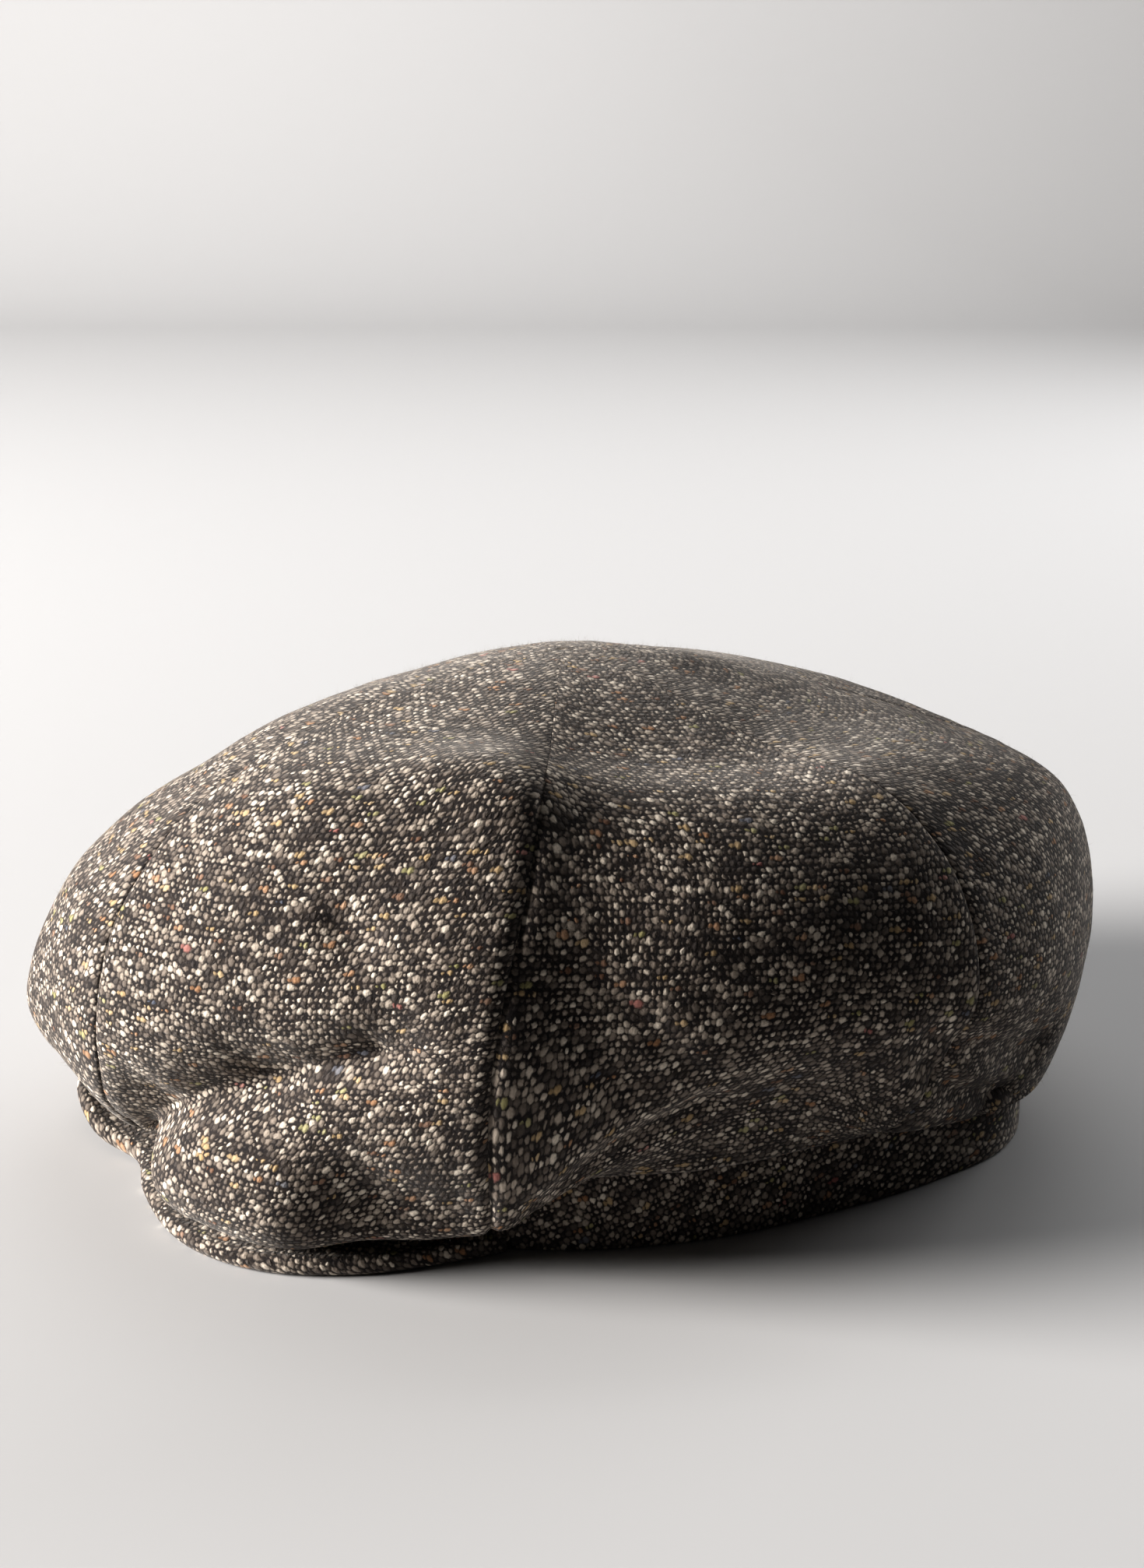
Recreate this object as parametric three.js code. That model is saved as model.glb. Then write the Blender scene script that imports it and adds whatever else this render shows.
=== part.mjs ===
import * as THREE from 'three';

// A soft tweed cap with a short peak, lying on a table as it was put down: six cloth panels, seamed from
// the middle of the top, hang over a plain band and over the peak. Millimetres, +Z up, the front toward -Y,
// the wearer's left toward +X. Angles are degrees round the upright axis, from the front toward the left.

// Driving sizes
const crownLength = 272;
const crownWidth = 216;
const crownHeight = 125;
const crownSetBack = 4;
const bandLength = 208;
const bandWidth = 172;
const bandHeight = 22;
const bandSetBack = 14;
const bandCloth = 2.6;
const panelCloth = 2.2;
const peakReach = 120;
const peakCloth = 4.6;
const peakRise = 5;
const peakFall = 1.5;
const peakArch = 80;
const peakHalfAngle = 60;
const seamGap = 0.6;
const seatGap = 0.4;
const clothEase = 0.8;
const clothClear = 5;
const seamDip = 1.4;
const seamHalfWidth = 5;
const seamFade = 30;
const panelTip = 1.6;

// How finely the cloth is faceted
const stepsAcross = 11;
const stepsAlong = 32;
const bandSteps = 72;
const peakSteps = 44;
const peakRings = 5;

// The crown's sections, one row for each angle. Reaches are shares of the crown's oval at that angle and
// heights are shares of crownHeight. The far side is plain; the near side has the sag and the overhang.
const sections = [
  { at: -150, midReach: 0.46, midHeight: 0.89, ridgeReach: 0.80, ridgeHeight: 0.79, shoulderReach: 0.98,
    shoulderHeight: 0.675, wideReach: 1.03, wideHeight: 0.45, lipReach: 0.955, lipHeight: 0.13 },
  { at: -120, midReach: 0.48, midHeight: 0.885, ridgeReach: 0.80, ridgeHeight: 0.815, shoulderReach: 0.99,
    shoulderHeight: 0.70, wideReach: 1.07, wideHeight: 0.46, lipReach: 0.95, lipHeight: 0.20 },
  { at: -90, midReach: 0.46, midHeight: 0.89, ridgeReach: 0.72, ridgeHeight: 0.825, shoulderReach: 0.93,
    shoulderHeight: 0.70, wideReach: 1.0, wideHeight: 0.46, lipReach: 0.93, lipHeight: 0.25 },
  { at: -60, midReach: 0.45, midHeight: 0.885, ridgeReach: 0.67, ridgeHeight: 0.80, shoulderReach: 0.86,
    shoulderHeight: 0.64, wideReach: 0.94, wideHeight: 0.42, lipReach: 0.91, lipHeight: 0.17 },
  { at: -30, midReach: 0.46, midHeight: 0.885, ridgeReach: 0.745, ridgeHeight: 0.735, shoulderReach: 0.93,
    shoulderHeight: 0.575, wideReach: 1.0, wideHeight: 0.34, lipReach: 0.91, lipHeight: 0.125 },
  { at: -15, midReach: 0.47, midHeight: 0.90, ridgeReach: 0.76, ridgeHeight: 0.745, shoulderReach: 0.955,
    shoulderHeight: 0.585, wideReach: 1.065, wideHeight: 0.31, lipReach: 0.935, lipHeight: 0.12 },
  { at: 0, midReach: 0.48, midHeight: 0.925, ridgeReach: 0.77, ridgeHeight: 0.77, shoulderReach: 0.96,
    shoulderHeight: 0.59, wideReach: 1.02, wideHeight: 0.34, lipReach: 0.88, lipHeight: 0.10 },
  { at: 30, midReach: 0.47, midHeight: 0.94, ridgeReach: 0.76, ridgeHeight: 0.86, shoulderReach: 0.91,
    shoulderHeight: 0.63, wideReach: 0.95, wideHeight: 0.35, lipReach: 0.92, lipHeight: 0.092 },
  { at: 45, midReach: 0.455, midHeight: 0.945, ridgeReach: 0.725, ridgeHeight: 0.885, shoulderReach: 0.905,
    shoulderHeight: 0.67, wideReach: 0.955, wideHeight: 0.39, lipReach: 0.895, lipHeight: 0.08 },
  { at: 60, midReach: 0.44, midHeight: 0.945, ridgeReach: 0.70, ridgeHeight: 0.90, shoulderReach: 0.91,
    shoulderHeight: 0.70, wideReach: 0.98, wideHeight: 0.445, lipReach: 0.905, lipHeight: 0.11 },
  { at: 75, midReach: 0.45, midHeight: 0.935, ridgeReach: 0.695, ridgeHeight: 0.88, shoulderReach: 0.885,
    shoulderHeight: 0.70, wideReach: 0.962, wideHeight: 0.475, lipReach: 0.895, lipHeight: 0.25 },
  { at: 90, midReach: 0.46, midHeight: 0.925, ridgeReach: 0.73, ridgeHeight: 0.865, shoulderReach: 0.93,
    shoulderHeight: 0.71, wideReach: 1.0, wideHeight: 0.50, lipReach: 0.905, lipHeight: 0.33 },
  { at: 105, midReach: 0.47, midHeight: 0.915, ridgeReach: 0.765, ridgeHeight: 0.86, shoulderReach: 0.965,
    shoulderHeight: 0.71, wideReach: 1.04, wideHeight: 0.51, lipReach: 0.94, lipHeight: 0.34 },
  { at: 120, midReach: 0.48, midHeight: 0.905, ridgeReach: 0.80, ridgeHeight: 0.85, shoulderReach: 1.0,
    shoulderHeight: 0.70, wideReach: 1.07, wideHeight: 0.47, lipReach: 0.935, lipHeight: 0.215 },
  { at: 135, midReach: 0.475, midHeight: 0.90, ridgeReach: 0.805, ridgeHeight: 0.83, shoulderReach: 0.995,
    shoulderHeight: 0.70, wideReach: 1.065, wideHeight: 0.45, lipReach: 0.94, lipHeight: 0.15 },
  { at: 150, midReach: 0.46, midHeight: 0.89, ridgeReach: 0.80, ridgeHeight: 0.81, shoulderReach: 0.98,
    shoulderHeight: 0.70, wideReach: 1.045, wideHeight: 0.43, lipReach: 0.98, lipHeight: 0.13 },
  { at: 180, midReach: 0.45, midHeight: 0.895, ridgeReach: 0.76, ridgeHeight: 0.77, shoulderReach: 0.965,
    shoulderHeight: 0.655, wideReach: 1.0, wideHeight: 0.45, lipReach: 0.88, lipHeight: 0.14 },
];

// Where each named column lies along the cloth, from the crown's middle to the band.
const stations = [
  { name: 'mid', along: 0.2 },
  { name: 'ridge', along: 0.4 },
  { name: 'shoulder', along: 0.52 },
  { name: 'wide', along: 0.66 },
  { name: 'lip', along: 0.82 },
];

// The six seams, from the top to the lip. The front one has slipped round toward the wearer's left.
const seams = [
  { topAngle: 10, sideAngle: 11, lipAngle: 3 },
  { topAngle: 66, sideAngle: 61, lipAngle: 60 },
  { topAngle: 122, sideAngle: 120, lipAngle: 119 },
  { topAngle: 180, sideAngle: 180, lipAngle: 180 },
  { topAngle: 240, sideAngle: 240, lipAngle: 240 },
  { topAngle: 300, sideAngle: 300, lipAngle: 300 },
];

// Folds and dents. Each runs from one place on the crown to another, given as an angle and a share of the
// way along the cloth; a dent has a negative lift. Width and lift are shares of crownHeight.
const folds = [
  { name: 'crease over the peak, front', fromAngle: 8, fromAlong: 0.80, toAngle: 14, toAlong: 0.73,
    width: 0.075, lift: -0.045 },
  { name: 'crease over the peak, middle', fromAngle: 18, fromAlong: 0.70, toAngle: 30, toAlong: 0.65,
    width: 0.08, lift: -0.060 },
  { name: 'crease over the peak, side', fromAngle: 36, fromAlong: 0.635, toAngle: 49, toAlong: 0.62,
    width: 0.075, lift: -0.040 },
  { name: 'lobe under the crease', fromAngle: 19, fromAlong: 0.80, toAngle: 34, toAlong: 0.775,
    width: 0.12, lift: 0.044 },
  { name: 'hollow beside the lobe', fromAngle: 46, fromAlong: 0.76, toAngle: 55, toAlong: 0.78,
    width: 0.09, lift: -0.034 },
  { name: 'dimple', fromAngle: 42, fromAlong: 0.50, toAngle: 44, toAlong: 0.52, width: 0.06, lift: -0.012 },
  { name: 'ridge before the side seam', fromAngle: 50, fromAlong: 0.36, toAngle: 60, toAlong: 0.41,
    width: 0.10, lift: 0.022 },
  { name: 'slack behind the side seam', fromAngle: 67, fromAlong: 0.57, toAngle: 76, toAlong: 0.70,
    width: 0.06, lift: -0.018 },
  { name: 'sag of the near top', fromAngle: 75, fromAlong: 0.27, toAngle: 108, toAlong: 0.29,
    width: 0.14, lift: -0.022 },
  { name: 'drag over the back quarter', fromAngle: 116, fromAlong: 0.70, toAngle: 140, toAlong: 0.745,
    width: 0.06, lift: -0.022 },
];

// The peak's rim, one row for each angle: its reach, and its lift off the table, as shares of peakReach. Its
// middle has buckled inward and its far half is lifted.
const peakRim = [
  { at: -60, reach: 0.715, lift: 0 },
  { at: -52, reach: 0.82, lift: 0.015 },
  { at: -42, reach: 0.93, lift: 0.045 },
  { at: -30, reach: 1.02, lift: 0.07 },
  { at: -15, reach: 1.075, lift: 0.07 },
  { at: -7, reach: 1.04, lift: 0.025 },
  { at: 0, reach: 0.965, lift: 0.005 },
  { at: 8, reach: 0.985, lift: 0 },
  { at: 21, reach: 1.01, lift: 0 },
  { at: 31, reach: 0.98, lift: 0 },
  { at: 42, reach: 0.89, lift: 0 },
  { at: 52, reach: 0.785, lift: 0 },
  { at: 60, reach: 0.715, lift: 0 },
];

// Where the band is pushed out of its oval, as shares of its reach: it bulges behind the wearer's left ear.
const bandFlare = [
  { at: -180, flare: 1.00 },
  { at: 108, flare: 1.00 },
  { at: 120, flare: 1.02 },
  { at: 132, flare: 1.065 },
  { at: 144, flare: 1.12 },
  { at: 156, flare: 1.09 },
  { at: 168, flare: 1.03 },
  { at: 180, flare: 1.00 },
];

const radians = THREE.MathUtils.degToRad;

// Distance from the axis to an oval of this width and length whose middle is set back along +Y.
function ovalReach(angle, width, length, setBack) {
  const across = Math.sin(radians(angle));
  const ahead = -Math.cos(radians(angle));
  const a = (across / (width / 2)) ** 2 + (ahead / (length / 2)) ** 2;
  const b = -2 * ahead * setBack / (length / 2) ** 2;
  const c = (setBack / (length / 2)) ** 2 - 1;
  return (-b + Math.sqrt(b * b - 4 * a * c)) / (2 * a);
}

const crownReach = (angle) => ovalReach(angle, crownWidth, crownLength, crownSetBack);

// A smooth curve through values at rising places, with an even slope through each.
function smoothThrough(places, values, at) {
  let i = 0;
  while (i < places.length - 2 && at > places[i + 1]) i += 1;
  const slope = (k) => {
    const low = Math.max(k - 1, 0);
    const high = Math.min(k + 1, places.length - 1);
    return (values[high] - values[low]) / (places[high] - places[low]);
  };
  const span = places[i + 1] - places[i];
  const t = (at - places[i]) / span;
  const curve = (2 * t ** 3 - 3 * t * t + 1) * values[i] + (t ** 3 - 2 * t * t + t) * span * slope(i);
  return curve + (3 * t * t - 2 * t ** 3) * values[i + 1] + (t ** 3 - t * t) * span * slope(i + 1);
}

// Distance from the axis to the band's outer face.
function bandReach(angle) {
  const turned = ((angle + 180) % 360 + 360) % 360 - 180;
  const flare = smoothThrough(bandFlare.map((row) => row.at), bandFlare.map((row) => row.flare), turned);
  return ovalReach(angle, bandWidth, bandLength, bandSetBack) * flare;
}

// A column of the sections at any angle, where the last row meets the first again.
function roundCrown(column, angle) {
  const turned = ((angle + 180) % 360 + 360) % 360 - 180;
  const wrap = [
    ...sections.slice(-3).map((row) => ({ at: row.at - 360, value: row[column] })),
    ...sections.map((row) => ({ at: row.at, value: row[column] })),
    ...sections.slice(0, 3).map((row) => ({ at: row.at + 360, value: row[column] })),
  ];
  return smoothThrough(wrap.map((row) => row.at), wrap.map((row) => row.value), turned);
}

// A place on the crown's cloth before its folds: reach and height for an angle and a share of the way along.
function plainSection(angle, along) {
  const places = [0, ...stations.map((station) => station.along), 1];
  const oval = crownReach(angle);
  const reaches = [
    0,
    ...stations.map((station) => oval * roundCrown(`${station.name}Reach`, angle)),
    bandReach(angle) + clothEase,
  ];
  const heights = [
    crownHeight,
    ...stations.map((station) => crownHeight * roundCrown(`${station.name}Height`, angle)),
    bandHeight - panelCloth,
  ];
  const mirrored = { places: [-stations[0].along, ...places], heights: [heights[1], ...heights] };
  return {
    reach: smoothThrough(places, reaches, along),
    height: smoothThrough(mirrored.places, mirrored.heights, along),
  };
}

function plainPoint(angle, along) {
  const { reach, height } = plainSection(angle, along);
  return new THREE.Vector3(reach * Math.sin(radians(angle)), -reach * Math.cos(radians(angle)), height);
}

// The cloth's outward direction, from two short steps over the surface.
function outward(pointAt, angle, along) {
  const turn = pointAt(angle + 0.5, along).sub(pointAt(angle - 0.5, along));
  const run = pointAt(angle, Math.min(along + 0.004, 1)).sub(pointAt(angle, Math.max(along - 0.004, 0.002)));
  return run.cross(turn).normalize();
}

const foldLines = folds.map((fold) => ({
  line: new THREE.Line3(plainPoint(fold.fromAngle, fold.fromAlong), plainPoint(fold.toAngle, fold.toAlong)),
  width: fold.width * crownHeight,
  lift: fold.lift * crownHeight,
}));

function foldLift(point) {
  let total = 0;
  for (const { line, width, lift } of foldLines) {
    const nearest = line.closestPointToPoint(point, true, new THREE.Vector3());
    total += lift * Math.exp(-((nearest.distanceTo(point) / width) ** 2));
  }
  return total;
}

function foldedPoint(angle, along) {
  const point = plainPoint(angle, along);
  return point.addScaledVector(outward(plainPoint, angle, along), foldLift(point));
}

// Cloth that comes down to the band lies against it, and just above the band it leans in no further.
function clearOfBand(point) {
  const angle = THREE.MathUtils.radToDeg(Math.atan2(point.x, -point.y));
  const above = Math.max(0, point.z - bandHeight - seatGap);
  if (above > clothClear) return point;
  const least = bandReach(angle) + clothEase - above;
  const reach = Math.hypot(point.x, point.y);
  if (reach >= least) return point;
  return new THREE.Vector3(point.x * least / reach, point.y * least / reach, point.z);
}

// A seam's angle at a share of the way along the cloth: straight to the ridge, then through its side and lip.
function seamAngle(seam, along) {
  const [ridge, wide, lip] = ['ridge', 'wide', 'lip'].map((name) => stations.find((row) => row.name === name).along);
  return smoothThrough([0, ridge, wide, lip, 1],
    [seam.topAngle, seam.topAngle, seam.sideAngle, seam.lipAngle, seam.lipAngle], along);
}

// A closed body from an outer and an inner grid of points, each grid[row][column].
function closedSheet(outer, inner) {
  const rows = outer.length;
  const columns = outer[0].length;
  const points = [...outer.flat(), ...inner.flat()];
  const index = (side, row, column) => side * rows * columns + row * columns + column;
  const triangles = [];
  const quad = (a, b, c, d) => triangles.push(a, b, c, a, c, d);
  for (let row = 0; row < rows - 1; row += 1) {
    for (let column = 0; column < columns - 1; column += 1) {
      quad(index(0, row, column), index(0, row + 1, column), index(0, row + 1, column + 1),
        index(0, row, column + 1));
      quad(index(1, row, column), index(1, row, column + 1), index(1, row + 1, column + 1),
        index(1, row + 1, column));
    }
  }
  for (let row = 0; row < rows - 1; row += 1) {
    quad(index(0, row, 0), index(1, row, 0), index(1, row + 1, 0), index(0, row + 1, 0));
    quad(index(0, row, columns - 1), index(0, row + 1, columns - 1), index(1, row + 1, columns - 1),
      index(1, row, columns - 1));
  }
  for (let column = 0; column < columns - 1; column += 1) {
    quad(index(0, 0, column), index(0, 0, column + 1), index(1, 0, column + 1), index(1, 0, column));
    quad(index(0, rows - 1, column), index(1, rows - 1, column), index(1, rows - 1, column + 1),
      index(0, rows - 1, column + 1));
  }
  const geometry = new THREE.BufferGeometry();
  geometry.setAttribute('position', new THREE.Float32BufferAttribute(points.flatMap((p) => p.toArray()), 3));
  geometry.setIndex(triangles);
  geometry.computeVertexNormals();
  return geometry;
}

// One crown panel between two seams. Its edges dip a little where they are sewn to the next panel.
function crownPanel(fromSeam, toSeam) {
  const outer = [];
  const inner = [];
  const start = panelTip / plainSection(0, 0.01).reach * 0.01;
  for (let row = 0; row <= stepsAlong; row += 1) {
    const along = THREE.MathUtils.lerp(start, 1, row / stepsAlong);
    const reach = plainSection(0.5 * (fromSeam.sideAngle + toSeam.sideAngle), along).reach;
    const inset = THREE.MathUtils.radToDeg(seamGap / 2 / reach);
    const from = seamAngle(fromSeam, along) + inset;
    const to = seamAngle(toSeam, along) - inset;
    const outerRow = [];
    const innerRow = [];
    for (let column = 0; column <= stepsAcross; column += 1) {
      const even = column / stepsAcross;
      const share = 0.5 * even + 0.5 * (0.5 - 0.5 * Math.cos(Math.PI * even));
      const angle = THREE.MathUtils.lerp(from, to, share);
      const point = foldedPoint(angle, along);
      const facing = outward(foldedPoint, angle, along);
      const edge = Math.min(share, 1 - share) * radians(to - from) * reach;
      const dip = seamDip * Math.exp(-((edge / seamHalfWidth) ** 2)) * Math.min(1, reach / seamFade);
      outerRow.push(clearOfBand(point.clone().addScaledVector(facing, -dip)));
      innerRow.push(clearOfBand(point.clone().addScaledVector(facing, -dip - panelCloth)));
    }
    outer.push(outerRow);
    inner.push(innerRow);
  }
  return closedSheet(outer, inner);
}

// The band: a plain upright ring with a flat lower edge, which the cap rests on.
function headBand() {
  const outline = (inset, clockwise) => {
    const points = [];
    for (let step = 0; step < bandSteps; step += 1) {
      const angle = (clockwise ? -360 : 360) * step / bandSteps;
      const reach = bandReach(angle) - inset;
      points.push(new THREE.Vector2(reach * Math.sin(radians(angle)), -reach * Math.cos(radians(angle))));
    }
    return points;
  };
  const shape = new THREE.Shape(outline(0, false));
  shape.holes.push(new THREE.Path(outline(bandCloth, true)));
  return new THREE.ExtrudeGeometry(shape, { depth: bandHeight, bevelEnabled: false, steps: 1 });
}

// The peak: a stiff crescent that slopes from the band down to its rim on the table.
function peak() {
  const top = [];
  const underside = [];
  for (let step = 0; step <= peakSteps; step += 1) {
    const angle = THREE.MathUtils.lerp(-peakHalfAngle, peakHalfAngle, step / peakSteps);
    const innerReach = bandReach(angle) + seatGap;
    const scale = peakHalfAngle / peakRim.at(-1).at;
    const places = peakRim.map((row) => row.at * scale);
    const rimReach = peakReach * smoothThrough(places, peakRim.map((row) => row.reach), angle);
    const rimLift = peakReach * Math.max(0, smoothThrough(places, peakRim.map((row) => row.lift), angle));
    const topRow = [];
    const undersideRow = [];
    for (let ring = 0; ring <= peakRings; ring += 1) {
      const share = ring / peakRings;
      const reach = THREE.MathUtils.lerp(innerReach, rimReach, share);
      const arch = peakRise * (1 - share) ** peakFall * Math.cos(radians(peakArch * angle / peakHalfAngle));
      const rise = arch + rimLift * share ** 2;
      const x = reach * Math.sin(radians(angle));
      const y = -reach * Math.cos(radians(angle));
      const roundOff = ring === peakRings ? 1 : 0;
      topRow.push(new THREE.Vector3(x, y, rise + peakCloth - roundOff));
      undersideRow.push(new THREE.Vector3(x, y, rise));
    }
    top.push(topRow);
    underside.push(undersideRow);
  }
  return closedSheet(top.reverse(), underside.reverse());
}

const tweed = () => new THREE.MeshStandardMaterial({ color: 0x5d5852, roughness: 0.95, metalness: 0 });
const bandTweed = () => new THREE.MeshStandardMaterial({ color: 0x4c4843, roughness: 0.95, metalness: 0 });
const peakTweed = () => new THREE.MeshStandardMaterial({ color: 0x55504a, roughness: 0.95, metalness: 0 });

const cap = new THREE.Group();

function addPiece(name, geometry, material) {
  const mesh = new THREE.Mesh(geometry, material);
  mesh.name = name;
  cap.add(mesh);
}

const panelNames = ['left_front', 'left_side', 'left_back', 'right_back', 'right_side', 'right_front'];
panelNames.forEach((name, i) => {
  const fromSeam = seams[i];
  const next = seams[(i + 1) % seams.length];
  const turn = i + 1 === seams.length ? 360 : 0;
  const toSeam = {
    topAngle: next.topAngle + turn, sideAngle: next.sideAngle + turn, lipAngle: next.lipAngle + turn,
  };
  addPiece(`crown_panel_${name}`, crownPanel(fromSeam, toSeam), tweed());
});
addPiece('head_band', headBand(), bandTweed());
addPiece('peak', peak(), peakTweed());

// The origin is the middle of the cap's box, on the table.
const box = new THREE.Box3().setFromObject(cap);
const middle = box.getCenter(new THREE.Vector3());
cap.position.set(-middle.x, -middle.y, -box.min.z);

export default cap;
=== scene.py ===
import math

import bpy
import numpy as np
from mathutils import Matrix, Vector


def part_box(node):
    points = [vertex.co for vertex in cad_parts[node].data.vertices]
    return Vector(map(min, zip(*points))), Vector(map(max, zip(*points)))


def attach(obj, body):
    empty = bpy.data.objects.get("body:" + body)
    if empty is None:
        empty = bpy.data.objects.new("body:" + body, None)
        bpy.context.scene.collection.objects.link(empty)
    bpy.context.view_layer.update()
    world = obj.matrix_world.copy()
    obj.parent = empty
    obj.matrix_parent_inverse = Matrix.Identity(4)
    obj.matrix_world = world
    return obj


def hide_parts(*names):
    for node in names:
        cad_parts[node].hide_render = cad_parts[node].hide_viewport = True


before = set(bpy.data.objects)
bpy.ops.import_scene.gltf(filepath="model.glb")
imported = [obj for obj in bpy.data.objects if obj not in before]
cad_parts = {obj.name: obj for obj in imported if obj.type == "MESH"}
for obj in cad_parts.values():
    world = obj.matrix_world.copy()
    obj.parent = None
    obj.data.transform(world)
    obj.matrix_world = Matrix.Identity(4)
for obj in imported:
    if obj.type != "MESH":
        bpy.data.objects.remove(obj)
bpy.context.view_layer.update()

# The crown's sizes are the solids' own, in millimetres. Its tables hold shares of them.
crown = {
    "length": 272, "width": 216, "height": 125, "setBack": 4, "cloth": 2.2,
    "stepsAcross": 84, "stepsAlong": 150,
    "evenShare": 0.45,          # how evenly the steps across a panel are spaced; the rest crowd to its seams
    "seamDip": 1.5, "seamGrooveWidth": 1.0, "seamRidge": 0.35, "seamRidgePlace": 4.0, "seamRidgeWidth": 2.6,
    "seamShares": [0.35, 0.65, 0.22, 0.6, 0.6, 0.6],    # how deep each seam lies, from the front round
    "seamFadeStart": 72, "seamFadeLength": 34, "seamLeast": 0.07,   # the seams fade out toward the top
    "puckerLift": 0.45, "puckerSize": 17, "rippleLift": 0.16, "rippleSize": 6,
    "brightness": 1.2, "weaveTurn": 0.72,
}
band = {
    "length": 208, "width": 172, "height": 22, "setBack": 14, "cloth": 2.6,
    "seatGap": 0.4, "clothEase": 0.8, "clothClear": 5,
    "stepsRound": 240, "edgeRound": 1.2, "weavePerDegree": 1.65,
    "brightness": 1.1, "weaveTurn": 0.4,
}
peak = {
    "reach": 120, "cloth": 4.6, "rise": 5, "fall": 1.5, "arch": 80, "halfAngle": 60,
    "stepsRound": 120, "stepsAcross": 22, "rimSteps": 9,
    "rimStitchInset": 4.5, "rimStitchDepth": 0.35, "rimStitchWidth": 0.8,
    "weavePerDegree": 1.9, "undersideMark": 9,
    "brightness": 1.25, "weaveTurn": 1.05,
}
# one row for each direction round the crown, in degrees: reach and height are shares of the crown's own
sectionColumns = ["at", "midReach", "midHeight", "ridgeReach", "ridgeHeight", "shoulderReach", "shoulderHeight",
                  "wideReach", "wideHeight", "lipReach", "lipHeight"]
sectionRows = [
    (-150, 0.46, 0.89, 0.8, 0.79, 0.98, 0.675, 1.03, 0.45, 0.955, 0.13),
    (-120, 0.48, 0.885, 0.8, 0.815, 0.99, 0.7, 1.07, 0.46, 0.95, 0.2),
    (-90, 0.46, 0.89, 0.72, 0.825, 0.93, 0.7, 1.0, 0.46, 0.93, 0.25),
    (-60, 0.45, 0.885, 0.67, 0.8, 0.86, 0.64, 0.94, 0.42, 0.91, 0.17),
    (-30, 0.46, 0.885, 0.745, 0.735, 0.93, 0.575, 1.0, 0.34, 0.91, 0.125),
    (-15, 0.47, 0.9, 0.76, 0.745, 0.955, 0.585, 1.065, 0.31, 0.935, 0.12),
    (0, 0.48, 0.925, 0.77, 0.77, 0.96, 0.59, 1.02, 0.34, 0.88, 0.1),
    (30, 0.47, 0.94, 0.76, 0.86, 0.91, 0.63, 0.95, 0.35, 0.92, 0.092),
    (45, 0.455, 0.945, 0.725, 0.885, 0.905, 0.67, 0.955, 0.39, 0.895, 0.08),
    (60, 0.44, 0.945, 0.7, 0.9, 0.91, 0.7, 0.98, 0.445, 0.905, 0.11),
    (75, 0.45, 0.935, 0.695, 0.88, 0.885, 0.7, 0.962, 0.475, 0.895, 0.25),
    (90, 0.46, 0.925, 0.73, 0.865, 0.93, 0.71, 1.0, 0.5, 0.905, 0.33),
    (105, 0.47, 0.915, 0.765, 0.86, 0.965, 0.71, 1.04, 0.51, 0.94, 0.34),
    (120, 0.48, 0.905, 0.8, 0.85, 1.0, 0.7, 1.07, 0.47, 0.935, 0.215),
    (135, 0.475, 0.9, 0.805, 0.83, 0.995, 0.7, 1.065, 0.45, 0.94, 0.15),
    (150, 0.46, 0.89, 0.8, 0.81, 0.98, 0.7, 1.045, 0.43, 0.98, 0.13),
    (180, 0.45, 0.895, 0.76, 0.77, 0.965, 0.655, 1.0, 0.45, 0.88, 0.14),
]
sections = [dict(zip(sectionColumns, row)) for row in sectionRows]
stations = [("mid", 0.2), ("ridge", 0.4), ("shoulder", 0.52), ("wide", 0.66), ("lip", 0.82)]
seams = [
    {"topAngle": 10, "sideAngle": 11, "lipAngle": 3},
    {"topAngle": 66, "sideAngle": 61, "lipAngle": 60},
    {"topAngle": 122, "sideAngle": 120, "lipAngle": 119},
    {"topAngle": 180, "sideAngle": 180, "lipAngle": 180},
    {"topAngle": 240, "sideAngle": 240, "lipAngle": 240},
    {"topAngle": 300, "sideAngle": 300, "lipAngle": 300},
]
foldColumns = ["name", "fromAngle", "fromAlong", "toAngle", "toAlong", "width", "lift"]
foldRows = [
    ("crease over the peak, front", 8, 0.8, 14, 0.73, 0.075, -0.045),
    ("crease over the peak, middle", 18, 0.7, 30, 0.65, 0.08, -0.06),
    ("crease over the peak, side", 36, 0.635, 49, 0.62, 0.075, -0.04),
    ("lobe under the crease", 19, 0.8, 34, 0.775, 0.12, 0.044),
    ("hollow beside the lobe", 46, 0.76, 55, 0.78, 0.09, -0.034),
    ("dimple", 42, 0.5, 44, 0.52, 0.06, -0.012),
    ("ridge before the side seam", 50, 0.36, 60, 0.41, 0.1, 0.022),
    ("slack behind the side seam", 67, 0.57, 76, 0.7, 0.06, -0.018),
    ("sag of the near top", 75, 0.27, 108, 0.29, 0.14, -0.022),
    ("drag over the back quarter", 116, 0.7, 140, 0.745, 0.06, -0.022),
]
folds = [dict(zip(foldColumns, row)) for row in foldRows]
peakRim = [
    {"at": -60, "reach": 0.715, "lift": 0},
    {"at": -52, "reach": 0.82, "lift": 0.015},
    {"at": -42, "reach": 0.93, "lift": 0.045},
    {"at": -30, "reach": 1.02, "lift": 0.07},
    {"at": -15, "reach": 1.075, "lift": 0.07},
    {"at": -7, "reach": 1.04, "lift": 0.025},
    {"at": 0, "reach": 0.965, "lift": 0.005},
    {"at": 8, "reach": 0.985, "lift": 0},
    {"at": 21, "reach": 1.01, "lift": 0},
    {"at": 31, "reach": 0.98, "lift": 0},
    {"at": 42, "reach": 0.89, "lift": 0},
    {"at": 52, "reach": 0.785, "lift": 0},
    {"at": 60, "reach": 0.715, "lift": 0},
]
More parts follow.
